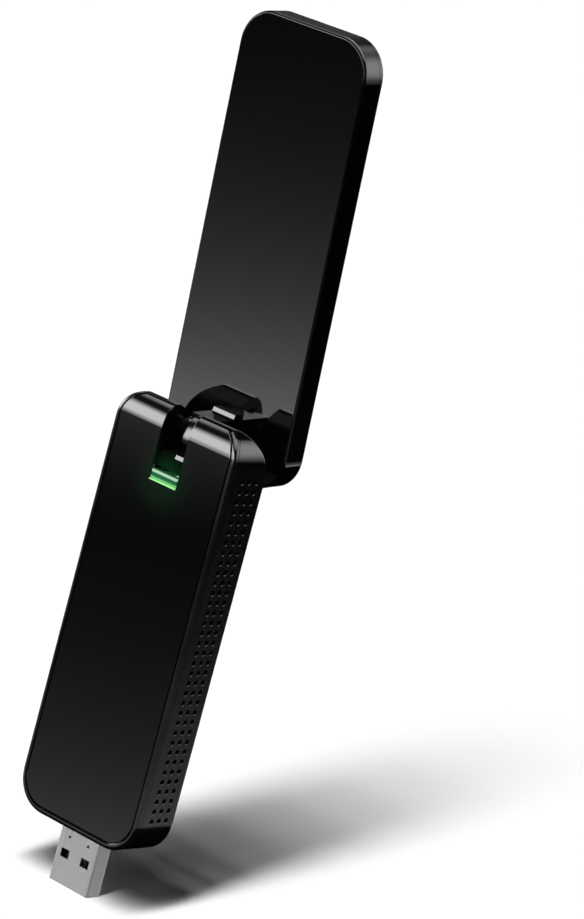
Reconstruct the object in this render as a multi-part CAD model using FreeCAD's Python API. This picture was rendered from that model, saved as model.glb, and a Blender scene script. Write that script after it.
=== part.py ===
import FreeCAD, Part
import math
import os

os.makedirs("parts", exist_ok=True)
V = FreeCAD.Vector

# USB wireless adapter with a fold-over antenna. All sizes are in millimetres.
# The origin is the centre of the plug where it leaves the housing.
# +X points right seen from the front, -Y is the front, +Z points from the plug to the antenna.

# Housing
HOUSING_WIDTH = 36.1
HOUSING_FRONT_Y = -6.1
HOUSING_BACK_Y = 6.05
ROLL_START_Z = 92.4
EASE_R = 7.8
EASE_ANGLE = 30.0
FRONT_ROLL_R = 3.0
BACK_ROLL_R = 12.0
BOTTOM_CORNER_R = 8.0
TOP_CORNER_R = 6.8
OUTLINE_OVER = 0.3
EDGE_ROUND = 0.8
WALL = 1.6
SHELL_DEPTH = 2.4

# Front panel, bezel and their gaps
SKIN_DEPTH = 1.2
BEZEL_WIDTH = 1.1
PANEL_GAP = 0.4
SKIN_SEAM = 0.15
PANEL_END_ANGLE = 27.0
BEZEL_END_ANGLE = 40.0
LEDGE_WIDTH = 2.2
LEDGE_TOP_Z = 88.0
PANEL_ROUND = 0.2
COVER_ROUND = 0.25

# Side vents
VENT_R = 0.54
VENT_SINK = 0.11
VENT_COLUMNS_Y = (-1.77, 0.60, 2.97)
VENT_ROWS = 35
VENT_FIRST_Z = 9.1
VENT_PITCH_Z = 2.305

# Back cover and its screws
COVER_THICKNESS = 1.4
COVER_INSET = 1.9
COVER_TOP_Z = 82.4
COVER_CORNER_R = 6.0
COVER_GAP = 0.15
COVER_SCREW_X = 13.0
COVER_SCREW_Z = (12.0, 76.0)
SCREW_SHANK_R = 0.7
SCREW_HEAD_R = 1.4
BOSS_R = 1.9

# Notch, light bar and hinge
NOTCH_HALF = 4.0
NOTCH_BOTTOM_Z = 81.1
SLOT_FLOOR_Z = 87.6
SLOT_BACK_FLOOR_Z = 88.8
SLOT_BACK_Y = 5.2
RECESS_DEPTH = 1.3
STEP_ROUND = 0.9
LIP_X = (0.65, 3.85)
LIP_Z = (86.9, 87.8)
LIP_SLOPE = 0.22
LIP_DEPTH = 1.7
LIGHT_BAR_ROUND = 0.35
LIGHT_BAR_HALF = 3.65
LIGHT_BAR_Z = (81.2, 83.35)
HINGE_Y = 1.9
HINGE_Z = 92.7
PIN_R = 1.0
PIN_HALF = 6.0
PIN_CLEARANCE = 0.05
SADDLE_HALF = 6.2
SADDLE_BOTTOM_Z = 84.0
ARM_HALF = 3.6
ARM_FRONT = -4.2
ARM_BELOW = -3.2
ARM_EASE_START = -2.1
ARM_EASE_R = 7.5
ARM_EASE_ANGLE = 35.0
ARM_ROLL_R = 3.2
DRUM_SIDE = -1.0
DRUM_CORE_R = 2.6
RIB_START = 6.9
RIB_TOP = 4.55
RIB_TILT = 0.36
RIB_END = 2.9
WASHER_R = 2.2
WASHER_THICKNESS = 0.3

# Antenna, drawn straight up and then leant forward to its rest angle
REST_LEAN = 5.0
FACE_REACH = 8.4
ANTENNA_WIDTH = 36.6
ANTENNA_THICKNESS = 6.2
ANTENNA_TAIL = 9.6
ANTENNA_TIP = 91.7
ANTENNA_CORNER_R = 8.3
ANTENNA_EDGE_ROUND = 0.6
ANTENNA_WALL = 1.3
SEAM_DEPTH = 4.7
SEAM_GAP = 0.12
FOOT_HALF = 4.2
FOOT_TOP = 6.1
FOOT_BOTTOM = -4.6
FOOT_DEPTH = 2.2

# USB plug
PLUG_WIDTH = 12.0
PLUG_HEIGHT = 4.5
PLUG_LENGTH = 13.9
PLUG_ROOT = 6.0
PLUG_WALL = 0.3
PLUG_CORNER_R = 0.6
WINDOW_WIDTH = 2.5
WINDOW_HEIGHT = 2.0
WINDOW_SPACING = 6.2
WINDOW_Z = -6.9
DIMPLE_R = 0.35
DIMPLE_SPACING = 5.8
DIMPLE_Z = -2.95
TONGUE_THICKNESS = 1.8
CONTACT_PITCH = 2.4

# Circuit board
BOARD_HALF = 14.6
BOARD_BOTTOM_Z = 9.2
BOARD_TOP_Z = 81.0
BOARD_BACK_Y = 0.9
BOARD_THICKNESS = 1.0

HALF = HOUSING_WIDTH / 2.0
EASE = math.radians(EASE_ANGLE)
EASE_Y = HOUSING_FRONT_Y + EASE_R
ROLL_Y = EASE_Y - (EASE_R - FRONT_ROLL_R) * math.cos(EASE)
FRONT_ROLL_Z = ROLL_START_Z + (EASE_R - FRONT_ROLL_R) * math.sin(EASE)
HOUSING_HEIGHT = FRONT_ROLL_Z + FRONT_ROLL_R
BACK_ROLL_Y = HOUSING_BACK_Y - BACK_ROLL_R
LIFT = math.sqrt((BACK_ROLL_R - FRONT_ROLL_R) ** 2 - (ROLL_Y - BACK_ROLL_Y) ** 2)
BACK_ROLL_Z = FRONT_ROLL_Z - LIFT
ARM_EASE_RISE = (ARM_EASE_R - ARM_ROLL_R) * math.sin(math.radians(ARM_EASE_ANGLE))
ARM_TOP = ARM_EASE_START + ARM_EASE_RISE + ARM_ROLL_R


def box(x0, x1, y0, y1, z0, z1):
    return Part.makeBox(x1 - x0, y1 - y0, z1 - z0, V(x0, y0, z0))


def cyl(radius, start, direction, length):
    return Part.makeCylinder(radius, length, V(*start), V(*direction))


def corner_arc(cx, cz, radius, start, y):
    def at(angle):
        rad = math.radians(angle)
        return V(cx + radius * math.cos(rad), y, cz + radius * math.sin(rad))
    return Part.Arc(at(start), at(start + 45.0), at(start + 90.0)).toShape()


def plate(x0, x1, z0, z1, low_r, high_r, y0, y1):
    """A plate standing in the XZ plane, with its own lower and upper corner radii."""
    rights = [(x1 - high_r, z1 - high_r, high_r, 0.0), (x0 + high_r, z1 - high_r, high_r, 90.0),
              (x0 + low_r, z0 + low_r, low_r, 180.0), (x1 - low_r, z0 + low_r, low_r, 270.0)]
    arcs = [corner_arc(cx, cz, r, start, y0) for cx, cz, r, start in rights]
    edges = []
    for index, arc in enumerate(arcs):
        following = arcs[(index + 1) % 4]
        edges.append(arc)
        edges.append(Part.makeLine(arc.Vertexes[-1].Point, following.Vertexes[0].Point))
    face = Part.Face(Part.Wire(edges))
    return face.extrude(V(0, y1 - y0, 0))


def outline(inset):
    """The housing's front outline, pulled in by an inset, as a thick block."""
    return plate(-HALF + inset, HALF - inset, inset, HOUSING_HEIGHT + OUTLINE_OVER - inset,
                 BOTTOM_CORNER_R - inset, TOP_CORNER_R - inset, -20.0, 20.0)


def profile(depth):
    """The housing's side profile, pulled in by a depth, open at the bottom."""
    join = math.atan2(FRONT_ROLL_Z - BACK_ROLL_Z, ROLL_Y - BACK_ROLL_Y)
    eased = math.pi - EASE

    def at(centre_y, centre_z, radius, angle):
        reach = radius - depth
        return V(-30.0, centre_y + reach * math.cos(angle), centre_z + reach * math.sin(angle))

    def bend(centre_y, centre_z, radius, start, end):
        middle = (start + end) / 2.0
        points = [at(centre_y, centre_z, radius, angle) for angle in (start, middle, end)]
        return Part.Arc(*points).toShape()

    low_front = V(-30.0, HOUSING_FRONT_Y + depth, -5.0)
    low_back = V(-30.0, HOUSING_BACK_Y - depth, -5.0)
    edges = [
        Part.makeLine(low_front, at(EASE_Y, ROLL_START_Z, EASE_R, math.pi)),
        bend(EASE_Y, ROLL_START_Z, EASE_R, math.pi, eased),
        bend(ROLL_Y, FRONT_ROLL_Z, FRONT_ROLL_R, eased, join),
        bend(BACK_ROLL_Y, BACK_ROLL_Z, BACK_ROLL_R, join, 0.0),
        Part.makeLine(at(BACK_ROLL_Y, BACK_ROLL_Z, BACK_ROLL_R, 0.0), low_back),
        Part.makeLine(low_back, low_front),
    ]
    return Part.Face(Part.Wire(edges)).extrude(V(60.0, 0, 0))


def front_wedge(angle):
    """Everything in front of a plane through the front roll's axis."""
    tilt = math.radians(angle)
    far = 30.0
    points = [
        V(-30.0, ROLL_Y, FRONT_ROLL_Z),
        V(-30.0, ROLL_Y - far * math.sin(tilt), FRONT_ROLL_Z + far * math.cos(tilt)),
        V(-30.0, -40.0, FRONT_ROLL_Z + far),
        V(-30.0, -40.0, -5.0),
        V(-30.0, ROLL_Y, -5.0),
    ]
    wire = Part.makePolygon(points + [points[0]])
    return Part.Face(wire).extrude(V(60.0, 0, 0))


def body_block():
    """The closed block: the side profile within the front outline, rounded where they meet."""
    block = profile(0.0).common(outline(0.0))
    return block.makeFillet(EDGE_ROUND, [edge for edge in block.Edges if meets_both(block, edge)])


def meets_both(block, edge):
    """True where a face of the side profile meets a face of the front outline."""
    middle = edge.valueAt((edge.FirstParameter + edge.LastParameter) / 2.0)
    on_outline = set()
    for face in block.ancestorsOfType(edge, Part.Face):
        u, v = face.Surface.parameter(middle)
        normal = face.normalAt(u, v)
        on_outline.add(abs(normal.y) < 0.01 and normal.z < 0.99)
    return len(on_outline) == 2


def soften(shape, block, radius):
    """Rounds the edges where the outer skin of a piece turns down into a gap."""
    outside = block.Shells[0]
    outer = []
    for face in shape.Faces:
        u0, u1, v0, v1 = face.ParameterRange
        probe = Part.Vertex(face.valueAt((u0 + u1) / 2.0, (v0 + v1) / 2.0))
        if outside.distToShape(probe)[0] < 1e-4:
            outer.append(face)
    edges = []
    for edge in shape.Edges:
        touching = [face for face in outer if any(edge.isSame(other) for other in face.Edges)]
        if len(touching) == 1:
            edges.append(edge)
    return shape.makeFillet(radius, edges)


def skin(block, depth):
    return block.cut(profile(depth))


def panel_window(grow):
    """The front panel's outline, grown by a gap all round."""
    side = HALF - BEZEL_WIDTH - PANEL_GAP + grow
    low = BEZEL_WIDTH + PANEL_GAP + 0.1 - grow
    return plate(-side, side, low, HOUSING_HEIGHT - 0.1 + grow, BOTTOM_CORNER_R - 1.6 + grow,
                 6.1 + grow, -20.0, 20.0)


def notch(grow=0.0, bottom=NOTCH_BOTTOM_Z):
    return box(-NOTCH_HALF - grow, NOTCH_HALF + grow, -20.0, 20.0, bottom - grow, 120.0)


def slot():
    """The deep slot that the arm swings through."""
    deep = box(-NOTCH_HALF, NOTCH_HALF, -20.0, SLOT_BACK_Y, SLOT_FLOOR_Z, 120.0)
    back = box(-NOTCH_HALF, NOTCH_HALF, -20.0, 20.0, SLOT_BACK_FLOOR_Z, 120.0)
    return deep.fuse(back)


def front_panel(block):
    panel = skin(block, SKIN_DEPTH).common(panel_window(0.0)).common(front_wedge(PANEL_END_ANGLE))
    return soften(panel.cut(notch()), block, PANEL_ROUND)


def front_bezel(block):
    ring = skin(block, SKIN_DEPTH).cut(panel_window(PANEL_GAP))
    return ring.common(front_wedge(BEZEL_END_ANGLE))


def vent(side, y, z):
    """One vent hole with a small countersink at its mouth."""
    hole = cyl(VENT_R, (side * (HALF - WALL - 0.5), y, z), (side, 0, 0), 4.0)
    mouth = Part.makeCone(VENT_R, VENT_R + 2 * VENT_SINK, 2 * VENT_SINK,
                          V(side * (HALF - VENT_SINK), y, z), V(side, 0, 0))
    return hole.fuse(mouth)


def vents():
    holes = []
    for side in (-1.0, 1.0):
        for y in VENT_COLUMNS_Y:
            for row in range(VENT_ROWS):
                z = VENT_FIRST_Z + row * VENT_PITCH_Z
                holes.append(vent(side, y, z))
    return Part.makeCompound(holes)


def cover_plate(grow):
    side = HALF - COVER_INSET + grow
    return plate(-side, side, COVER_INSET - grow, COVER_TOP_Z + grow, COVER_CORNER_R, COVER_CORNER_R,
                 HOUSING_BACK_Y - COVER_THICKNESS, HOUSING_BACK_Y)


def screw_spots():
    return [(x, z) for x in (-COVER_SCREW_X, COVER_SCREW_X) for z in COVER_SCREW_Z]


def cover_screws():
    screws = []
    for x, z in screw_spots():
        top = HOUSING_BACK_Y - 0.1
        head = cyl(SCREW_HEAD_R, (x, top - 0.6, z), (0, 1, 0), 0.6)
        shank = cyl(SCREW_SHANK_R, (x, top - 6.0, z), (0, 1, 0), 5.4)
        cross = box(x - 0.7, x + 0.7, top - 0.35, top, z - 0.14, z + 0.14)
        cross = cross.fuse(box(x - 0.14, x + 0.14, top - 0.35, top, z - 0.7, z + 0.7))
        screws.append(head.fuse(shank).removeSplitter().cut(cross))
    return Part.makeCompound(screws)


def back_cover():
    cover = cover_plate(0.0)
    for x, z in screw_spots():
        cover = cover.cut(cyl(SCREW_SHANK_R + 0.1, (x, 0, z), (0, 1, 0), 10.0))
        cover = cover.cut(cyl(SCREW_HEAD_R + 0.15, (x, HOUSING_BACK_Y - 0.75, z), (0, 1, 0), 2.0))
    rims = [e for e in cover.Edges if e.BoundBox.YMin > HOUSING_BACK_Y - 0.001]
    return cover.makeFillet(COVER_ROUND, rims)


def housing_frame(block):
    frame = block.cut(profile(SHELL_DEPTH).common(outline(WALL)))
    bezel_room = skin(block, SKIN_DEPTH + SKIN_SEAM).common(front_wedge(BEZEL_END_ANGLE - 2.0))
    panel_room = skin(block, SKIN_DEPTH + SKIN_SEAM).common(panel_window(PANEL_GAP))
    panel_room = panel_room.common(front_wedge(PANEL_END_ANGLE - 4.0))
    frame = frame.cut(bezel_room).cut(panel_room)
    front_opening = outline(WALL + LEDGE_WIDTH).common(box(-30, 30, -20, 0, -1, LEDGE_TOP_Z))
    frame = frame.cut(front_opening)
    frame = frame.cut(cover_plate(COVER_GAP))
    frame = frame.cut(plate_opening())
    for x, z in screw_spots():
        boss_back = HOUSING_BACK_Y - COVER_THICKNESS - COVER_GAP
        boss = cyl(BOSS_R, (x, BOARD_BACK_Y + 0.3, z), (0, 1, 0), boss_back - BOARD_BACK_Y - 0.3)
        web_x = HALF - WALL if x > 0 else -HALF + WALL
        low_x, high_x = min(x, web_x), max(x, web_x)
        web = box(low_x, high_x, 3.9, boss_back, z - 0.8, z + 0.8)
        frame = frame.fuse(boss.fuse(web))
        frame = frame.cut(cyl(SCREW_SHANK_R, (x, -2.0, z), (0, 1, 0), 9.0))
    frame = frame.cut(plug_room())
    pin_end = PIN_HALF + 0.02
    frame = frame.cut(cyl(PIN_R + 0.02, (-pin_end, HINGE_Y, HINGE_Z), (1, 0, 0), 2 * pin_end))
    frame = frame.cut(notch().common(box(-30, 30, -20, ROLL_Y, 0, 120))).cut(slot())
    return frame.cut(vents()).removeSplitter()


def plate_opening():
    """The opening behind the back cover, with a narrow lip left for it to sit on."""
    side = HALF - COVER_INSET - 1.0
    return plate(-side, side, COVER_INSET + 1.0, COVER_TOP_Z - 1.0, 5.0, 5.0, 3.0, 20.0)


def plug_room():
    half_x = PLUG_WIDTH / 2.0
    half_y = PLUG_HEIGHT / 2.0
    return box(-half_x, half_x, -half_y, half_y, -2.0, WALL + 1.0)


def round_step(saddle):
    """Rounds the front edge of the slot's floor."""
    step_y = HOUSING_FRONT_Y + RECESS_DEPTH
    edges = []
    for edge in saddle.Edges:
        middle = edge.CenterOfMass
        if abs(middle.y - step_y) < 0.01 and abs(middle.z - SLOT_FLOOR_Z) < 0.01 and edge.Length > 1.0:
            edges.append(edge)
    return saddle.makeFillet(STEP_ROUND, edges)


def stop_lip():
    """A small sloping lip at the front of the slot's floor, beside the arm's drum."""
    near = HOUSING_FRONT_Y + RECESS_DEPTH - 0.02
    low, high = LIP_Z
    corners = [(near, low), (near + LIP_SLOPE, high), (near + LIP_DEPTH, high), (near + LIP_DEPTH, low)]
    points = [V(LIP_X[0], y, z) for y, z in corners]
    side = Part.Face(Part.makePolygon(points + [points[0]]))
    return side.extrude(V(LIP_X[1] - LIP_X[0], 0, 0))


def hinge_saddle():
    """The block that carries the hinge pin, lines the slot and backs the notch."""
    room = box(-SADDLE_HALF, SADDLE_HALF, -20, 20, SADDLE_BOTTOM_Z, 97.0)
    block = profile(SHELL_DEPTH + 0.05).common(room)
    pad = box(-NOTCH_HALF + 0.1, NOTCH_HALF - 0.1, HOUSING_FRONT_Y + RECESS_DEPTH, -3.0,
              SADDLE_BOTTOM_Z, SLOT_FLOOR_Z)
    saddle = block.fuse(pad)
    hollow = box(-SADDLE_HALF + 1.3, SADDLE_HALF - 1.3, -2.6, 3.0, SADDLE_BOTTOM_Z - 1, SLOT_FLOOR_Z - 1.2)
    saddle = saddle.cut(slot()).cut(hollow)
    saddle = round_step(saddle).fuse(stop_lip())
    return saddle.cut(cyl(PIN_R, (-20, HINGE_Y, HINGE_Z), (1, 0, 0), 40.0)).removeSplitter()


def hinge_pin():
    return cyl(PIN_R, (-PIN_HALF, HINGE_Y, HINGE_Z), (1, 0, 0), 2 * PIN_HALF)


def friction_washers():
    washers = []
    middle = (ARM_HALF + NOTCH_HALF) / 2.0
    for side in (-1.0, 1.0):
        start = (side * middle - WASHER_THICKNESS / 2.0, HINGE_Y, HINGE_Z)
        ring = cyl(WASHER_R, start, (1, 0, 0), WASHER_THICKNESS)
        bore = cyl(PIN_R + PIN_CLEARANCE, (start[0] - 1, HINGE_Y, HINGE_Z), (1, 0, 0), 3.0)
        washers.append(ring.cut(bore))
    return Part.makeCompound(washers)


def light_pipe():
    """A clear bar in the notch with a stem that leads down to the lamp on the board."""
    z0, z1 = LIGHT_BAR_Z
    bar = box(-LIGHT_BAR_HALF, LIGHT_BAR_HALF, HOUSING_FRONT_Y, HOUSING_FRONT_Y + 1.6, z0, z1)
    long_edges = [e for e in bar.Edges if e.BoundBox.YMax < HOUSING_FRONT_Y + 0.01 and e.Length > 5.0]
    bar = bar.makeFillet(LIGHT_BAR_ROUND, long_edges)
    stem = box(-1.6, 1.6, HOUSING_FRONT_Y + 1.6, -2.4, z0, z1)
    foot = box(-1.6, 1.6, -4.0, -2.4, 76.4, z1)
    return bar.fuse(stem).fuse(foot).removeSplitter()


def board_front():
    return BOARD_BACK_Y - BOARD_THICKNESS


def on_front(x0, x1, z0, z1, height, lift=0.0):
    """A block standing on the board's front side."""
    y1 = board_front() - lift
    return box(x0, x1, y1 - height, y1, z0, z1)


def main_circuit_board():
    board = plate(-BOARD_HALF, BOARD_HALF, BOARD_BOTTOM_Z, BOARD_TOP_Z, 1.5, 1.5,
                  board_front(), BOARD_BACK_Y)
    for x, z in screw_spots():
        board = board.cut(cyl(SCREW_SHANK_R + 0.3, (x, -5, z), (0, 1, 0), 10.0))
    return board


def status_led():
    return on_front(-0.8, 0.8, 77.0, 79.2, 0.7)


def shield_can():
    outer = on_front(-9.0, 9.0, 42.0, 66.0, 1.7)
    inner = on_front(-8.8, 8.8, 42.2, 65.8, 1.5)
    return outer.cut(inner)


def wifi_chip():
    return on_front(-4.0, 4.0, 49.0, 57.0, 0.9)


def thermal_pad():
    return box(-8.0, 8.0, board_front() - 2.3, board_front() - 1.7, 43.0, 65.0)


def heat_spreader():
    back = board_front() - 2.3
    return plate(-11.5, 11.5, 24.0, 74.0, 1.0, 1.0, back - 0.8, back)


def switching_chip():
    return on_front(-3.0, 3.0, 26.0, 32.0, 0.9)


def board_capacitors():
    spots = [(-8.0, 22.0), (-8.0, 25.0), (-8.0, 28.0), (8.0, 22.0), (8.0, 25.0),
             (-3.0, 36.5), (0.0, 36.5), (3.0, 36.5), (-9.5, 71.0), (9.5, 71.0)]
    return Part.makeCompound([on_front(x - 0.5, x + 0.5, z - 0.8, z + 0.8, 0.8) for x, z in spots])


def power_inductor():
    base = on_front(6.0, 10.0, 30.0, 34.0, 1.6)
    return base.makeFillet(0.4, [e for e in base.Edges if abs(e.tangentAt(0).y) > 0.9])


def coax_sockets():
    sockets = []
    for x in (-6.5, 6.5):
        y = board_front()
        pad = on_front(x - 1.3, x + 1.3, 69.7, 72.3, 0.3)
        sockets.append(pad.fuse(cyl(1.0, (x, y - 0.3, 71.0), (0, -1, 0), 0.8)))
    return Part.makeCompound(sockets)


def coax_plugs():
    plugs = []
    for x in (-6.5, 6.5):
        y = board_front() - 0.35
        cap = cyl(1.4, (x, y, 71.0), (0, -1, 0), 1.2)
        cap = cap.cut(cyl(1.05, (x, y, 71.0), (0, -1, 0), 0.8))
        plugs.append(cap)
    return Part.makeCompound(plugs)


def board_coax():
    """Short leads that run from the plugs up towards the hollow saddle."""
    leads = []
    for side in (-1.0, 1.0):
        y = board_front() - 0.95
        start = V(side * 6.5, y, 72.45)
        bend = V(side * 6.5, y, 80.0)
        end = V(side * 2.6, y, 86.0)
        lead = cyl(0.55, tuple(start), (0, 0, 1), bend.z - start.z)
        ball = Part.makeSphere(0.55, bend)
        run = end.sub(bend)
        lead = lead.fuse(ball).fuse(Part.makeCylinder(0.55, run.Length, bend, run))
        leads.append(lead.removeSplitter())
    return Part.makeCompound(leads)


def plug_sleeve(grow, z0, z1):
    half_x = PLUG_WIDTH / 2.0 + grow
    half_y = PLUG_HEIGHT / 2.0 + grow
    sleeve = box(-half_x, half_x, -half_y, half_y, z0, z1)
    upright = [e for e in sleeve.Edges if abs(e.tangentAt(0).z) > 0.9]
    return sleeve.makeFillet(PLUG_CORNER_R + grow, upright)


def usb_plug_shell():
    shell = plug_sleeve(0.0, -PLUG_LENGTH, PLUG_ROOT)
    shell = shell.cut(plug_sleeve(-PLUG_WALL, -PLUG_LENGTH - 1, PLUG_ROOT + 1))
    for side in (-1.0, 1.0):
        x = side * WINDOW_SPACING / 2.0
        window = box(x - WINDOW_WIDTH / 2, x + WINDOW_WIDTH / 2, -5, 5,
                     WINDOW_Z - WINDOW_HEIGHT / 2, WINDOW_Z + WINDOW_HEIGHT / 2)
        shell = shell.cut(window)
        dimple_x = side * DIMPLE_SPACING / 2.0
        shell = shell.cut(cyl(DIMPLE_R, (dimple_x, -5, DIMPLE_Z), (0, 1, 0), 10.0))
    tip = [e for e in shell.Edges if e.BoundBox.ZMax < -PLUG_LENGTH + 0.001]
    return shell.makeChamfer(0.1, tip)


def usb_plug_insulator():
    half_x = PLUG_WIDTH / 2.0 - PLUG_WALL - 0.25
    back = PLUG_HEIGHT / 2.0 - PLUG_WALL - 0.05
    tongue = box(-half_x, half_x, back - TONGUE_THICKNESS, back, -PLUG_LENGTH + 0.4, 0.0)
    base = plug_sleeve(-PLUG_WALL - 0.05, 0.0, PLUG_ROOT + 2.0)
    return tongue.fuse(base).removeSplitter()


def usb_contacts():
    face = PLUG_HEIGHT / 2.0 - PLUG_WALL - 0.05 - TONGUE_THICKNESS
    strips = []
    for index in range(4):
        x = (index - 1.5) * CONTACT_PITCH
        strips.append(box(x - 0.5, x + 0.5, face - 0.12, face, -PLUG_LENGTH + 1.6, -4.6))
    for index in range(5):
        x = (index - 2.0) * 2.0
        strips.append(box(x - 0.35, x + 0.35, face - 0.3, face, -3.8, -1.4))
    for index in range(9):
        x = (index - 4.0) * 1.15
        y = board_front()
        strips.append(box(x - 0.2, x + 0.2, y - 0.2, y, PLUG_ROOT + 2.0, BOARD_BOTTOM_Z + 1.4))
    return Part.makeCompound(strips)


def antenna_plate(inset, near, far):
    """A slab of the antenna between two distances from the hinge axis."""
    side = ANTENNA_WIDTH / 2.0 - inset
    radius = ANTENNA_CORNER_R - inset
    return plate(-side, side, HINGE_Z - ANTENNA_TAIL + inset, HINGE_Z + ANTENNA_TIP - inset,
                 radius, radius, HINGE_Y + near, HINGE_Y + far)


def antenna_block():
    block = antenna_plate(0.0, FACE_REACH, FACE_REACH + ANTENNA_THICKNESS)
    rims = [e for e in block.Edges if abs(e.BoundBox.YMax - e.BoundBox.YMin) < 1e-4]
    return block.makeFillet(ANTENNA_EDGE_ROUND, rims)


def foot_block(grow):
    return plate(-FOOT_HALF - grow, FOOT_HALF + grow, HINGE_Z + FOOT_BOTTOM - grow,
                 HINGE_Z + FOOT_TOP + grow, 1.0 + grow, 1.0 + grow,
                 HINGE_Y + FACE_REACH - (1.0 if grow else 0.0), HINGE_Y + FACE_REACH + FOOT_DEPTH + grow)


def near_half(shape, near, far):
    return shape.common(box(-30, 30, HINGE_Y + near, HINGE_Y + far, 0, 250))


def antenna_front_shell(block):
    shell = near_half(block, FACE_REACH - 1.0, FACE_REACH + SEAM_DEPTH)
    shell = shell.cut(antenna_plate(ANTENNA_WALL, FACE_REACH + ANTENNA_WALL, FACE_REACH + 20.0))
    return shell.cut(foot_block(0.05)).removeSplitter()


def antenna_back_shell(block):
    seam = FACE_REACH + SEAM_DEPTH + SEAM_GAP
    shell = near_half(block, seam, FACE_REACH + ANTENNA_THICKNESS + 1.0)
    lip = antenna_plate(ANTENNA_WALL + 0.1, FACE_REACH + SEAM_DEPTH - 0.9, seam)
    lip = lip.cut(antenna_plate(ANTENNA_WALL + 1.0, 0.0, 30.0))
    shell = shell.fuse(lip)
    hollow_end = FACE_REACH + ANTENNA_THICKNESS - 1.0
    return shell.cut(antenna_plate(ANTENNA_WALL + 1.0, 0.0, hollow_end)).removeSplitter()


def arm_profile():
    """The arm seen from the side: a soft front roll, a flat top and a raised rib at the face."""
    ease = math.radians(ARM_EASE_ANGLE)
    ease_u = ARM_FRONT + ARM_EASE_R
    roll_u = ease_u - (ARM_EASE_R - ARM_ROLL_R) * math.cos(ease)
    roll_w = ARM_TOP - ARM_ROLL_R
    top = ARM_TOP

    def at(u, w):
        return V(-ARM_HALF, HINGE_Y + u, HINGE_Z + w)

    def round_at(u, w, radius, angle):
        return at(u - radius * math.cos(angle), w + radius * math.sin(angle))

    def bend(u, w, radius, start, end):
        points = [round_at(u, w, radius, angle) for angle in (start, (start + end) / 2.0, end)]
        return Part.Arc(*points).toShape()

    swing_r = math.hypot(ARM_FRONT, ARM_EASE_START)
    heel = math.asin(ARM_BELOW / swing_r)
    toe = math.atan2(ARM_EASE_START, -ARM_FRONT)
    corners = [at(roll_u, top), at(RIB_START, top), at(RIB_START + RIB_TILT, RIB_TOP),
               at(FACE_REACH, RIB_TOP), at(FACE_REACH, ARM_BELOW), round_at(0.0, 0.0, swing_r, heel)]
    edges = [bend(ease_u, ARM_EASE_START, ARM_EASE_R, 0.0, ease),
             bend(roll_u, roll_w, ARM_ROLL_R, ease, math.pi / 2.0),
             bend(0.0, 0.0, swing_r, heel, toe)]
    for start, end in zip(corners[:-1], corners[1:]):
        edges.append(Part.makeLine(start, end))
    return Part.Face(Part.Wire(Part.sortEdges(edges)[0]))


def hinge_arm():
    arm = arm_profile().extrude(V(2 * ARM_HALF, 0, 0))
    rib_edge = HINGE_Z + RIB_TOP
    reach = HINGE_Y + FACE_REACH
    high = [e for e in arm.Edges if e.BoundBox.ZMin > rib_edge - 0.01]
    arm = arm.makeFillet(0.2, [e for e in high if e.BoundBox.YMax < reach - 0.1])
    arm = arm.cut(box(RIB_END, 10.0, HINGE_Y, reach + 1.0, HINGE_Z + ARM_TOP, 120.0))
    relief = box(-ARM_HALF - 1.0, DRUM_SIDE, -20.0, HINGE_Y + 0.6, 80.0, 120.0)
    relief = relief.cut(cyl(DRUM_CORE_R, (-10, HINGE_Y, HINGE_Z), (1, 0, 0), 20.0))
    arm = arm.cut(relief)
    arm = arm.cut(cyl(PIN_R + PIN_CLEARANCE, (-10, HINGE_Y, HINGE_Z), (1, 0, 0), 20.0))
    duct = box(-2.2, 2.2, HINGE_Y + 2.6, reach + 1.0, HINGE_Z - 1.4, HINGE_Z + 1.4)
    return arm.cut(duct)


def arm_foot():
    foot = foot_block(0.0)
    duct = box(-2.2, 2.2, HINGE_Y, HINGE_Y + 20.0, HINGE_Z - 1.4, HINGE_Z + 1.4)
    foot = foot.cut(duct)
    for x, z in antenna_screw_spots():
        foot = foot.cut(cyl(SCREW_SHANK_R, (x, HINGE_Y + FACE_REACH + 0.45, z), (0, 1, 0), 30.0))
    return foot


def antenna_screw_spots():
    return [(x, HINGE_Z + w) for x in (-3.0, 3.0) for w in (-3.2, 4.6)]


def antenna_screws():
    screws = []
    for x, z in antenna_screw_spots():
        seat = HINGE_Y + FACE_REACH + FOOT_DEPTH + 0.05
        shank = cyl(SCREW_SHANK_R, (x, seat - 1.7, z), (0, 1, 0), 1.7)
        head = cyl(1.1, (x, seat, z), (0, 1, 0), 0.6)
        screws.append(shank.fuse(head).removeSplitter())
    return Part.makeCompound(screws)


def antenna_board():
    near = FACE_REACH + 3.1
    side = ANTENNA_WIDTH / 2.0 - 3.2
    return plate(-side, side, HINGE_Z + 10.0, HINGE_Z + ANTENNA_TIP - 3.2, 2.0, 5.5,
                 HINGE_Y + near, HINGE_Y + near + 0.8)


def antenna_radiators():
    """Copper patterns on the near side of the antenna board: two bent dipoles."""
    near = HINGE_Y + FACE_REACH + 3.1
    arms = []
    for side in (-1.0, 1.0):
        stem = box(side * 8.0 - 1.0, side * 8.0 + 1.0, near - 0.1, near, HINGE_Z + 14.0, HINGE_Z + 80.0)
        for w in (14.0, 45.0, 78.0):
            low = min(side * 8.0, side * 13.5)
            high = max(side * 8.0, side * 13.5)
            stem = stem.fuse(box(low, high, near - 0.1, near, HINGE_Z + w, HINGE_Z + w + 2.0))
        arms.append(stem.removeSplitter())
    return Part.makeCompound(arms)


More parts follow.
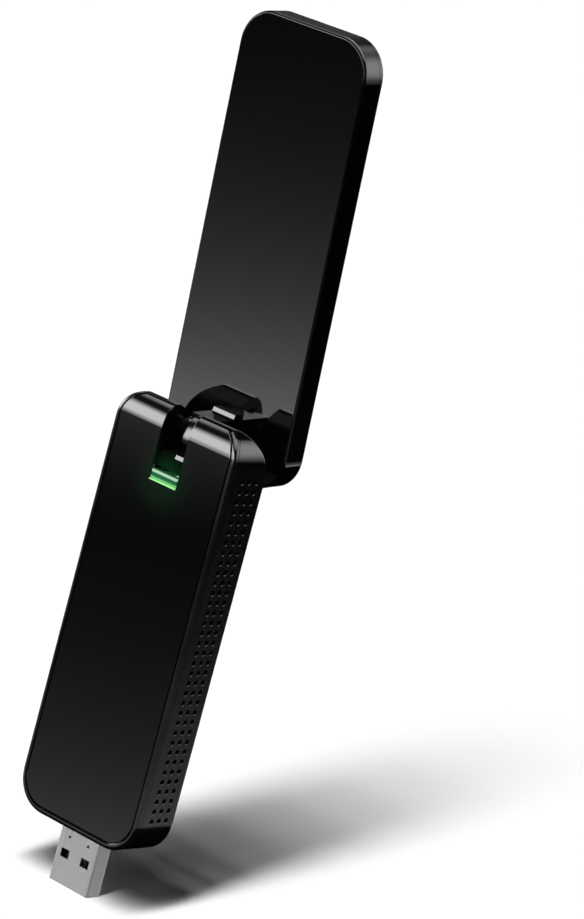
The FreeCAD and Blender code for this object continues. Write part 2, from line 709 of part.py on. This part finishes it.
def antenna_coax():
    """Two leads from the foot's duct up to the antenna board."""
    leads = []
    y = HINGE_Y + FACE_REACH + FOOT_DEPTH + 0.65
    for x in (-1.2, 1.2):
        lead = cyl(0.55, (x, y - 1.2, HINGE_Z), (0, 1, 0), 1.2)
        lead = lead.fuse(Part.makeSphere(0.55, V(x, y, HINGE_Z)))
        leads.append(lead.fuse(cyl(0.55, (x, y, HINGE_Z), (0, 0, 1), 9.8)))
    return Part.makeCompound(leads)


def lean(shape):
    leant = shape.copy()
    leant.rotate(V(0, HINGE_Y, HINGE_Z), V(1, 0, 0), REST_LEAN)
    return leant


def save(name, shape):
    solids = shape.Solids
    out = solids[0] if len(solids) == 1 else Part.makeCompound(solids)
    if not out.isValid():
        raise RuntimeError(name + " is not a valid solid")
    out.exportStep("parts/" + name + ".step")
    print(name, "solids", len(solids), "volume", round(out.Volume, 1))


def main():
    block = body_block()
    antenna = antenna_block()
    fixed = {
        "front_panel": front_panel(block),
        "front_bezel": front_bezel(block),
        "housing_frame": housing_frame(block),
        "back_cover": back_cover(),
        "cover_screws": cover_screws(),
        "hinge_saddle": hinge_saddle(),
        "hinge_pin": hinge_pin(),
        "friction_washers": friction_washers(),
        "light_pipe": light_pipe(),
        "status_led": status_led(),
        "main_circuit_board": main_circuit_board(),
        "wifi_chip": wifi_chip(),
        "switching_chip": switching_chip(),
        "shield_can": shield_can(),
        "thermal_pad": thermal_pad(),
        "heat_spreader": heat_spreader(),
        "board_capacitors": board_capacitors(),
        "power_inductor": power_inductor(),
        "coax_sockets": coax_sockets(),
        "coax_plugs": coax_plugs(),
        "board_coax": board_coax(),
        "usb_plug_shell": usb_plug_shell(),
        "usb_plug_insulator": usb_plug_insulator(),
        "usb_contacts": usb_contacts(),
    }
    swinging = {
        "hinge_arm": hinge_arm(),
        "arm_foot": arm_foot(),
        "antenna_front_shell": antenna_front_shell(antenna),
        "antenna_back_shell": antenna_back_shell(antenna),
        "antenna_board": antenna_board(),
        "antenna_radiators": antenna_radiators(),
        "antenna_coax": antenna_coax(),
        "antenna_screws": antenna_screws(),
    }
    for name, shape in fixed.items():
        save(name, shape)
    for name, shape in swinging.items():
        save(name, lean(shape))


main()
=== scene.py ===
import math
import bpy
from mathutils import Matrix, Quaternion, Vector

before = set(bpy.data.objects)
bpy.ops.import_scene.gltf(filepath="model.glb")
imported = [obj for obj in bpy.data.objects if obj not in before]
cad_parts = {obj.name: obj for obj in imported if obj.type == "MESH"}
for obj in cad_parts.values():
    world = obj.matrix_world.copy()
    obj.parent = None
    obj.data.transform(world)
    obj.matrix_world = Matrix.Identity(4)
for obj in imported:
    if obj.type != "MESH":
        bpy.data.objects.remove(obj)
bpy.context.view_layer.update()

MM = 0.001
FLOOR_Z = -13.9 * MM
REST_LEAN = math.radians(5.0)
SMOOTH_ANGLE = 28.0

# The camera stands where a pinhole fit to the outlines in the photograph puts it
CAMERA_LENS = 164.68
CAMERA_SENSOR = 36.0
CAMERA_PLACE = (570.6 * MM, -689.3 * MM, 275.5 * MM)
CAMERA_AIM = (28.1 * MM, 0.0 * MM, 96.2 * MM)
CAMERA_ROLL = 15.1


# ---------------------------------------------------------------- materials

def new_material(name):
    mat = bpy.data.materials.new(name)
    mat.use_nodes = True
    tree = mat.node_tree
    shader = tree.nodes["Principled BSDF"]
    return mat, tree, shader


def object_coords(tree):
    return tree.nodes.new("ShaderNodeTexCoord").outputs["Object"]


def noise(tree, scale, detail=4.0, rough=0.55):
    node = tree.nodes.new("ShaderNodeTexNoise")
    node.inputs["Scale"].default_value = scale
    node.inputs["Detail"].default_value = detail
    node.inputs["Roughness"].default_value = rough
    tree.links.new(object_coords(tree), node.inputs["Vector"])
    return node.outputs["Fac"]


def ramp(tree, value, stops):
    node = tree.nodes.new("ShaderNodeValToRGB")
    points = node.color_ramp.elements
    while len(points) < len(stops):
        points.new(0.5)
    for point, (place, level) in zip(points, stops):
        point.position = place
        point.color = (*level, 1.0) if isinstance(level, tuple) else (level, level, level, 1.0)
    tree.links.new(value, node.inputs["Fac"])
    return node.outputs["Color"]


def bump(tree, shader, height, strength, distance):
    node = tree.nodes.new("ShaderNodeBump")
    node.inputs["Strength"].default_value = strength
    node.inputs["Distance"].default_value = distance
    tree.links.new(height, node.inputs["Height"])
    tree.links.new(node.outputs["Normal"], shader.inputs["Normal"])


def combine(tree, operation, one, other):
    node = tree.nodes.new("ShaderNodeMath")
    node.operation = operation
    for socket, value in zip(node.inputs, (one, other)):
        if isinstance(value, float):
            socket.default_value = value
        else:
            tree.links.new(value, socket)
    return node.outputs["Value"]


def plastic(name, colour, rough_low, rough_high, grain=900.0, grain_strength=0.1, grain_depth=0.00002,
            smudge=40.0, specular=0.5):
    """Moulded plastic: a fine grain in the surface and a slow drift in the gloss."""
    mat, tree, shader = new_material(name)
    shader.inputs["Specular IOR Level"].default_value = specular
    drift = noise(tree, smudge)
    dark = tuple(c * 0.85 for c in colour)
    light = tuple(min(1.0, c * 1.15) for c in colour)
    tree.links.new(ramp(tree, drift, [(0.3, dark), (0.7, light)]), shader.inputs["Base Color"])
    tree.links.new(ramp(tree, drift, [(0.3, rough_low), (0.7, rough_high)]), shader.inputs["Roughness"])
    bump(tree, shader, noise(tree, grain, 3.0), grain_strength, grain_depth)
    return mat


def metal(name, colour, rough_low, rough_high, stretch=(1.0, 1.0, 30.0), scale=300.0, strength=0.08):
    """Metal with fine drawn lines along one axis."""
    mat, tree, shader = new_material(name)
    shader.inputs["Metallic"].default_value = 1.0
    mapping = tree.nodes.new("ShaderNodeMapping")
    mapping.inputs["Scale"].default_value = stretch
    tree.links.new(object_coords(tree), mapping.inputs["Vector"])
    lines = tree.nodes.new("ShaderNodeTexNoise")
    lines.inputs["Scale"].default_value = scale
    lines.inputs["Detail"].default_value = 5.0
    tree.links.new(mapping.outputs["Vector"], lines.inputs["Vector"])
    fac = lines.outputs["Fac"]
    dark = tuple(c * 0.88 for c in colour)
    tree.links.new(ramp(tree, fac, [(0.3, dark), (0.7, colour)]), shader.inputs["Base Color"])
    tree.links.new(ramp(tree, fac, [(0.3, rough_low), (0.7, rough_high)]), shader.inputs["Roughness"])
    bump(tree, shader, fac, strength, 0.00001)
    return mat


def paint_glow_near(mat, centre, reach, colour, strength):
    """Paints the lamp's light into the plastic round it as emission, fading with distance: a painted glow.
    """
    tree = mat.node_tree
    shader = tree.nodes["Principled BSDF"]
    away = tree.nodes.new("ShaderNodeVectorMath")
    away.operation = "DISTANCE"
    away.inputs[1].default_value = centre
    tree.links.new(object_coords(tree), away.inputs[0])
    fade = tree.nodes.new("ShaderNodeMapRange")
    fade.interpolation_type = "SMOOTHERSTEP"
    fade.inputs["From Min"].default_value = 0.0
    fade.inputs["From Max"].default_value = reach
    fade.inputs["To Min"].default_value = 1.0
    fade.inputs["To Max"].default_value = 0.0
    tree.links.new(away.outputs["Value"], fade.inputs["Value"])
    lit = tuple(strength * c for c in colour)
    tint = ramp(tree, fade.outputs["Result"], [(0.0, (0.0, 0.0, 0.0)), (1.0, lit)])
    tree.links.new(tint, shader.inputs["Emission Color"])
    shader.inputs["Emission Strength"].default_value = 1.0


def shine_above(mat, height, side, dull, glossy):
    """Keeps a piece dull except above a height and to one side of a plane."""
    tree = mat.node_tree
    split = tree.nodes.new("ShaderNodeSeparateXYZ")
    tree.links.new(object_coords(tree), split.inputs["Vector"])
    high = combine(tree, "GREATER_THAN", split.outputs["Z"], height)
    right = combine(tree, "GREATER_THAN", split.outputs["X"], side)
    both = combine(tree, "MULTIPLY", high, right)
    level = combine(tree, "MULTIPLY_ADD", both, glossy - dull)
    level.node.inputs[2].default_value = dull
    tree.links.new(level, tree.nodes["Principled BSDF"].inputs["Specular IOR Level"])


def by_normal(mat, axis, stops, socket):
    """Sets one value of a material from how far its surface faces along an axis."""
    tree = mat.node_tree
    coords = tree.nodes.new("ShaderNodeTexCoord")
    facing = tree.nodes.new("ShaderNodeVectorMath")
    facing.operation = "DOT_PRODUCT"
    facing.inputs[1].default_value = axis
    tree.links.new(coords.outputs["Normal"], facing.inputs[0])
    level = ramp(tree, facing.outputs["Value"], stops)
    tree.links.new(level, tree.nodes["Principled BSDF"].inputs[socket])


def paint_side_shade(mat, axis, level):
    """Paints shade on a metal: multiplies its colour down on the faces that look along an axis."""
    tree = mat.node_tree
    shader = tree.nodes["Principled BSDF"]
    colour = shader.inputs["Base Color"].links[0].from_socket
    by_normal(mat, axis, [(0.6, 1.0), (0.9, level)], "Base Color")
    sides = shader.inputs["Base Color"].links[0].from_socket
    product = tree.nodes.new("ShaderNodeVectorMath")
    product.operation = "MULTIPLY"
    tree.links.new(colour, product.inputs[0])
    tree.links.new(sides, product.inputs[1])
    tree.links.new(product.outputs["Vector"], shader.inputs["Base Color"])


def paint_edge_glow(mat, low, high, half, colour):
    """Paints a thin glowing line along a straight edge as emission: painted lamp light."""
    tree = mat.node_tree
    shader = tree.nodes["Principled BSDF"]
    split = tree.nodes.new("ShaderNodeSeparateXYZ")
    tree.links.new(object_coords(tree), split.inputs["Vector"])
    above = combine(tree, "GREATER_THAN", split.outputs["Z"], low)
    below = combine(tree, "LESS_THAN", split.outputs["Z"], high)
    within = combine(tree, "LESS_THAN", combine(tree, "ABSOLUTE", split.outputs["X"], 0.0), half)
    line = combine(tree, "MULTIPLY", combine(tree, "MULTIPLY", above, below), within)
    tint = ramp(tree, line, [(0.0, (0.0, 0.0, 0.0)), (1.0, colour)])
    glow = shader.inputs["Emission Color"].links[0].from_socket
    total = tree.nodes.new("ShaderNodeVectorMath")
    total.operation = "ADD"
    tree.links.new(glow, total.inputs[0])
    tree.links.new(tint, total.inputs[1])
    tree.links.new(total.outputs["Vector"], shader.inputs["Emission Color"])


def emissive(name, colour, strength):
    mat, tree, shader = new_material(name)
    drift = noise(tree, 500.0)
    pale = tuple(min(1.0, c * 1.1) for c in colour)
    tree.links.new(ramp(tree, drift, [(0.3, colour), (0.7, pale)]), shader.inputs["Emission Color"])
    shader.inputs["Base Color"].default_value = (*colour, 1.0)
    shader.inputs["Emission Strength"].default_value = strength
    shader.inputs["Roughness"].default_value = 0.3
    return mat


def light_bar_material():
    """A lit bar: a painted highlight, pale, along its upper edge; deep green in the middle and a bright
    line below.
    """
    mat, tree, shader = new_material("light_clear")
    split = tree.nodes.new("ShaderNodeSeparateXYZ")
    tree.links.new(object_coords(tree), split.inputs["Vector"])
    span = tree.nodes.new("ShaderNodeMapRange")
    span.inputs["From Min"].default_value = LIGHT_BAR_Z[0]
    span.inputs["From Max"].default_value = LIGHT_BAR_Z[1]
    tree.links.new(split.outputs["Z"], span.inputs["Value"])
    # The pale stops near the top are a painted highlight on the bar; the green stops are the bar's own
    # light
    stops = [(0.0, (0.02, 0.2, 0.06)), (0.1, (0.25, 0.62, 0.22)), (0.17, (0.22, 0.58, 0.2)),
             (0.27, (0.01, 0.14, 0.04)), (0.5, (0.005, 0.08, 0.03)), (0.62, (0.01, 0.12, 0.05)),
             (0.7, (0.3, 0.5, 0.32)), (0.77, (0.5, 0.66, 0.5)), (0.93, (0.4, 0.58, 0.4)),
             (0.99, (0.004, 0.04, 0.014))]
    colour = ramp(tree, span.outputs["Result"], stops)
    tree.links.new(colour, shader.inputs["Emission Color"])
    shader.inputs["Base Color"].default_value = (0.005, 0.03, 0.012, 1.0)
    shader.inputs["Specular IOR Level"].default_value = 0.04
    shader.inputs["Emission Strength"].default_value = 1.0
    shader.inputs["Roughness"].default_value = 0.2
    return mat


# Places on the part, in the shared frame
LIGHT_BAR_Z = (81.25 * MM, 83.35 * MM)
LED_PLACE = (0.0, -6.1 * MM, 82.2 * MM)
NOTCH_EDGE_Z = (80.8 * MM, 81.12 * MM)
NOTCH_EDGE_HALF = 3.9 * MM
LIP_BOTTOM_Z = 86.92 * MM
LIP_LEFT_X = 0.6 * MM
ANTENNA_FRONT = (0.0, -math.cos(REST_LEAN), -math.sin(REST_LEAN))
ARM_UP = (0.0, -math.sin(REST_LEAN), math.cos(REST_LEAN))
PLUG_RIGHT = (1.0, 0.0, 0.0)
# The panel's and saddle's glows below are painted light: emission painted round the lamp
PANEL_GLOW_REACH = 12.0 * MM
PANEL_GLOW = 0.014
SADDLE_GLOW_REACH = 8.0 * MM
SADDLE_GLOW = 0.035
PLUG_SIDE_PAINTED_SHADE = 0.72
LIP_GLOSS = 0.5
# GREEN colours the painted glow round the lamp; PALE_GREEN colours the painted glowing line on the notch
# edge
GREEN = (0.05, 0.75, 0.22)
PALE_GREEN = (0.25, 0.8, 0.2)

PANEL = plastic("panel_gloss", (0.0009, 0.0009, 0.001), 0.035, 0.055, 700.0, 0.03, 0.000006, 30.0)
BEZEL = plastic("bezel_gloss", (0.002, 0.002, 0.0022), 0.08, 0.14, 900.0, 0.05, 0.00001, 60.0)
SATIN = plastic("housing_satin", (0.0018, 0.0018, 0.0019), 0.09, 0.13, 2600.0, 0.12, 0.00001, 80.0)
COVER = plastic("cover_satin", (0.004, 0.004, 0.0042), 0.3, 0.4, 2200.0, 0.3, 0.00003, 80.0)
HINGE = plastic("hinge_plastic", (0.0015, 0.0015, 0.0015), 0.07, 0.12, 1800.0, 0.1, 0.00001, 90.0)
SADDLE = plastic("saddle_plastic", (0.0015, 0.0015, 0.0015), 0.12, 0.2, 1800.0, 0.1, 0.00001, 90.0, 0.1)
FOOT = plastic("foot_plastic", (0.001, 0.001, 0.001), 0.2, 0.3, 1800.0, 0.1, 0.00001, 90.0, 0.05)
FACE = plastic("antenna_gloss", (0.0009, 0.0009, 0.001), 0.035, 0.055, 700.0, 0.03, 0.000006, 25.0)
FACE_BACK = plastic("antenna_back_gloss", (0.0012, 0.0012, 0.0013), 0.05, 0.08, 700.0, 0.04, 0.000008, 30.0)
NICKEL = metal("plug_nickel", (0.42, 0.42, 0.43), 0.16, 0.24, (1.0, 1.0, 0.05), 1500.0, 0.04)
STEEL = metal("pin_steel", (0.55, 0.55, 0.56), 0.25, 0.35, (0.05, 1.0, 1.0), 2000.0, 0.1)
BLACK_STEEL = metal("screw_steel", (0.08, 0.08, 0.085), 0.35, 0.45, (1.0, 0.1, 1.0), 3000.0, 0.1)
GOLD = metal("contact_gold", (0.83, 0.61, 0.25), 0.2, 0.3, (1.0, 1.0, 0.1), 2000.0, 0.06)
COPPER = metal("copper", (0.72, 0.36, 0.2), 0.3, 0.4, (1.0, 1.0, 0.1), 1500.0, 0.08)
TIN = metal("can_tin", (0.62, 0.62, 0.6), 0.3, 0.42, (0.1, 1.0, 1.0), 1200.0, 0.08)
ALUMINIUM = metal("spreader_aluminium", (0.7, 0.7, 0.72), 0.32, 0.45, (1.0, 1.0, 0.04), 1500.0, 0.12)
NAVY = plastic("plug_insulator", (0.006, 0.01, 0.03), 0.25, 0.35, 1500.0, 0.1, 0.00002, 90.0)
BOARD = plastic("board_mask", (0.01, 0.07, 0.035), 0.25, 0.35, 800.0, 0.15, 0.00002, 200.0)
LAMINATE = plastic("laminate", (0.05, 0.1, 0.05), 0.4, 0.5, 900.0, 0.15, 0.00002, 200.0)
CHIP = plastic("chip_black", (0.02, 0.02, 0.02), 0.4, 0.5, 2500.0, 0.2, 0.00002, 200.0)
CERAMIC = plastic("ceramic", (0.35, 0.24, 0.13), 0.45, 0.55, 2500.0, 0.2, 0.00002, 400.0)
FERRITE = plastic("ferrite", (0.06, 0.06, 0.065), 0.5, 0.6, 2500.0, 0.3, 0.00002, 400.0)
PAD = plastic("pad_silicone", (0.3, 0.4, 0.55), 0.6, 0.7, 1500.0, 0.3, 0.00003, 200.0)
COAX = plastic("coax_jacket", (0.03, 0.03, 0.03), 0.35, 0.45, 1500.0, 0.1, 0.00002, 200.0)
LAMP = emissive("led_body", (0.6, 1.0, 0.7), 2.0)
LIGHT = light_bar_material()


def finish_details():
    """Painted lamp glow in the plastic round the lamp, a painted glowing line on the notch edge, painted
    shade on the plug's sides, and gloss that changes from face to face.
    """
    # Painted glow: emission painted on the panel and saddle round the lamp
    paint_glow_near(PANEL, LED_PLACE, PANEL_GLOW_REACH, GREEN, PANEL_GLOW)
    paint_glow_near(SADDLE, LED_PLACE, SADDLE_GLOW_REACH, GREEN, SADDLE_GLOW)
    rim_stops = [(0.55, 0.5), (0.7, 0.04), (0.985, 0.04), (0.995, 0.5)]
    by_normal(FACE, ANTENNA_FRONT, rim_stops, "Specular IOR Level")
    by_normal(HINGE, ARM_UP, [(0.9, 0.5), (0.97, 0.1)], "Specular IOR Level")
    # Painted shade: the plug's right-hand faces are painted darker
    paint_side_shade(NICKEL, PLUG_RIGHT, PLUG_SIDE_PAINTED_SHADE)
    # Painted light: a thin glowing line painted on the panel's notch edge
    paint_edge_glow(PANEL, *NOTCH_EDGE_Z, NOTCH_EDGE_HALF, PALE_GREEN)
    shine_above(SADDLE, LIP_BOTTOM_Z, LIP_LEFT_X, 0.0, LIP_GLOSS)


FINISHES = {
    "front_panel": PANEL, "front_bezel": BEZEL, "housing_frame": SATIN, "back_cover": COVER,
    "cover_screws": BLACK_STEEL, "hinge_saddle": SADDLE, "hinge_pin": STEEL, "friction_washers": STEEL,
    "light_pipe": LIGHT, "status_led": LAMP, "main_circuit_board": BOARD, "wifi_chip": CHIP,
    "switching_chip": CHIP, "shield_can": TIN, "thermal_pad": PAD, "heat_spreader": ALUMINIUM,
    "board_capacitors": CERAMIC, "power_inductor": FERRITE, "coax_sockets": GOLD, "coax_plugs": GOLD,
    "board_coax": COAX, "usb_plug_shell": NICKEL, "usb_plug_insulator": NAVY, "usb_contacts": GOLD,
    "hinge_arm": HINGE, "arm_foot": FOOT, "antenna_front_shell": FACE, "antenna_back_shell": FACE_BACK,
    "antenna_board": LAMINATE, "antenna_radiators": COPPER, "antenna_coax": COAX,
    "antenna_screws": STEEL,
}


def smooth_by_angle(obj, degrees):
    mesh = obj.data
    for poly in mesh.polygons:
        poly.use_smooth = True
    mesh.set_sharp_from_angle(angle=math.radians(degrees))


def dress_cad_nodes():
    for name, mat in FINISHES.items():
        node = bpy.data.objects[name]
        node.data.materials.clear()
        node.data.materials.append(mat)
        smooth_by_angle(node, SMOOTH_ANGLE)


# ---------------------------------------------------------------- stage, light and camera

# Elevations are in degrees. A soft band rises over its first pair and falls over its second.
STRIP_DIRECTION = (-0.62, -0.78, 0.1)
STRIP_RISE = (-13.0, 1.2)
STRIP_FALL = (13.5, 28.0)
STRIP_LEVEL = 11.5
SIDE_DIRECTION = (0.64, 0.77, 0.0)
SIDE_RISE = (-7.0, 19.0)
SIDE_FALL = (38.0, 70.0)
SIDE_LEVEL = 3.2
TOP_RISE = (40.0, 56.0)
TOP_LEVEL = 3.8
HAZE_RISE = (-2.0, 8.0)
HAZE_LEVEL = 0.1
LOW_RISE = (-20.8, -18.4)
LOW_EDGE = -18.5
LOW_LEVEL = 1.8
LOW_FADE = 1.35
SUN_HEADING = (0.235, -0.972)
SUN_LOW = 33.0
SUN_HIGH = 82.0
SUN_COUNT = 8
SUN_ANGLE = 6.5
FLOOR_LIGHT = 3.5
FLOOR_REACH = 8.0
STRIP_PATCH = (0.35, 0.75)
SIDE_PATCH = (0.6, 0.9)


def make_floor():
    reach = FLOOR_REACH
    signs = [(-1, -1), (1, -1), (1, 1), (-1, 1)]
    corners = [(x * reach, y * reach, FLOOR_Z) for x, y in signs]
    mesh = bpy.data.meshes.new("floor")
    mesh.from_pydata(corners, [], [(0, 1, 2, 3)])
    floor = bpy.data.objects.new("floor", mesh)
    bpy.context.scene.collection.objects.link(floor)
    mat, tree, shader = new_material("floor_paper")
    shader.inputs["Base Color"].default_value = (0.92, 0.92, 0.92, 1.0)
    shader.inputs["Roughness"].default_value = 0.9
    shader.inputs["Specular IOR Level"].default_value = 0.0
    mesh.materials.append(mat)
    floor.visible_glossy = False


def smooth_step(tree, value, low, high):
    node = tree.nodes.new("ShaderNodeMapRange")
    node.interpolation_type = "SMOOTHSTEP"
    node.inputs["From Min"].default_value = low
    node.inputs["From Max"].default_value = high
    tree.links.new(value, node.inputs["Value"])
    return node.outputs["Result"]


def soft_band(tree, elevation, rise, fall, level):
    """A band of light with a soft lower edge and, where a fall is given, a soft upper edge."""
    band = combine(tree, "MULTIPLY", smooth_step(tree, elevation, *rise), level)
    if fall is None:
        return band
    gone = smooth_step(tree, elevation, *fall)
    return combine(tree, "MULTIPLY", band, combine(tree, "SUBTRACT", 1.0, gone))


def low_glow(tree, elevation):
    """Light from below that dies away upwards by a fixed share for each degree."""
    over = combine(tree, "SUBTRACT", elevation, LOW_EDGE)
    fade = combine(tree, "POWER", math.e, combine(tree, "DIVIDE", over, -LOW_FADE))
    return combine(tree, "MULTIPLY", fade, soft_band(tree, elevation, LOW_RISE, None, LOW_LEVEL))


def facing_part(tree, coords, direction, low, high):
    """How far a direction lies within a soft patch of the surroundings, from 0 to 1."""
    toward = tree.nodes.new("ShaderNodeVectorMath")
    toward.operation = "DOT_PRODUCT"
    toward.inputs[1].default_value = direction
    tree.links.new(coords.outputs["Generated"], toward.inputs[0])
    return smooth_step(tree, toward.outputs["Value"], low, high)


def make_world():
    """A plain studio: a glow low down, a bright strip in front, a softer one behind, light above."""
    world = bpy.data.worlds.new("studio")
    bpy.context.scene.world = world
    world.use_nodes = True
    tree = world.node_tree
    sky = tree.nodes["Background"]
    coords = tree.nodes.new("ShaderNodeTexCoord")
    split = tree.nodes.new("ShaderNodeSeparateXYZ")
    tree.links.new(coords.outputs["Generated"], split.inputs["Vector"])
    elevation = combine(tree, "ARCSINE", split.outputs["Z"], 0.0)
    elevation = combine(tree, "MULTIPLY", elevation, math.degrees(1.0))
    facing = facing_part(tree, coords, STRIP_DIRECTION, *STRIP_PATCH)
    aside = facing_part(tree, coords, SIDE_DIRECTION, *SIDE_PATCH)
    strip = soft_band(tree, elevation, STRIP_RISE, STRIP_FALL, STRIP_LEVEL)
    beside = soft_band(tree, elevation, SIDE_RISE, SIDE_FALL, SIDE_LEVEL)
    parts = [combine(tree, "MULTIPLY", strip, facing), combine(tree, "MULTIPLY", beside, aside),
             soft_band(tree, elevation, TOP_RISE, None, TOP_LEVEL),
             soft_band(tree, elevation, HAZE_RISE, None, HAZE_LEVEL), low_glow(tree, elevation)]
    total = parts[0]
    for part in parts[1:]:
        total = combine(tree, "ADD", total, part)
    tree.links.new(total, sky.inputs["Strength"])
    sky.inputs["Color"].default_value = (1.0, 1.0, 1.0, 1.0)
    world.cycles_visibility.diffuse = False


def aim(obj, place, target):
    obj.location = place
    direction = Vector(target) - Vector(place)
    obj.rotation_mode = "QUATERNION"
    obj.rotation_quaternion = direction.to_track_quat("-Z", "Y")


def sun_light(direction, strength, angle):
    data = bpy.data.lights.new("key", "SUN")
    data.energy = strength
    data.angle = math.radians(angle)
    light = bpy.data.objects.new("key", data)
    bpy.context.scene.collection.objects.link(light)
    aim(light, Vector(direction) * 2.0, (0, 0, 0))
    light.visible_glossy = False
    return light


def make_lights():
    """A tall soft strip light: a column of suns, the middle ones lighting the floor most."""
    weights = [math.sin(math.pi * (step + 0.5) / SUN_COUNT) for step in range(SUN_COUNT)]
    for step, weight in enumerate(weights):
        rise = math.radians(SUN_LOW + (SUN_HIGH - SUN_LOW) * step / (SUN_COUNT - 1))
        level = math.cos(rise)
        direction = (SUN_HEADING[0] * level, SUN_HEADING[1] * level, math.sin(rise))
        share = weight / sum(weights)
        sun_light(direction, FLOOR_LIGHT * share / math.sin(rise), SUN_ANGLE)


def make_camera():
    data = bpy.data.cameras.new("camera")
    data.lens = CAMERA_LENS
    data.sensor_width = CAMERA_SENSOR
    data.sensor_fit = "AUTO"
    data.clip_start = 0.01
    data.clip_end = 60.0
    cam = bpy.data.objects.new("camera", data)
    bpy.context.scene.collection.objects.link(cam)
    aim(cam, CAMERA_PLACE, CAMERA_AIM)
    cam.rotation_quaternion = cam.rotation_quaternion @ Quaternion((0, 0, 1), math.radians(CAMERA_ROLL))
    bpy.context.scene.camera = cam


make_camera()
make_world()
make_floor()
make_lights()
finish_details()
dress_cad_nodes()
bpy.context.scene.view_settings.view_transform = "Standard"
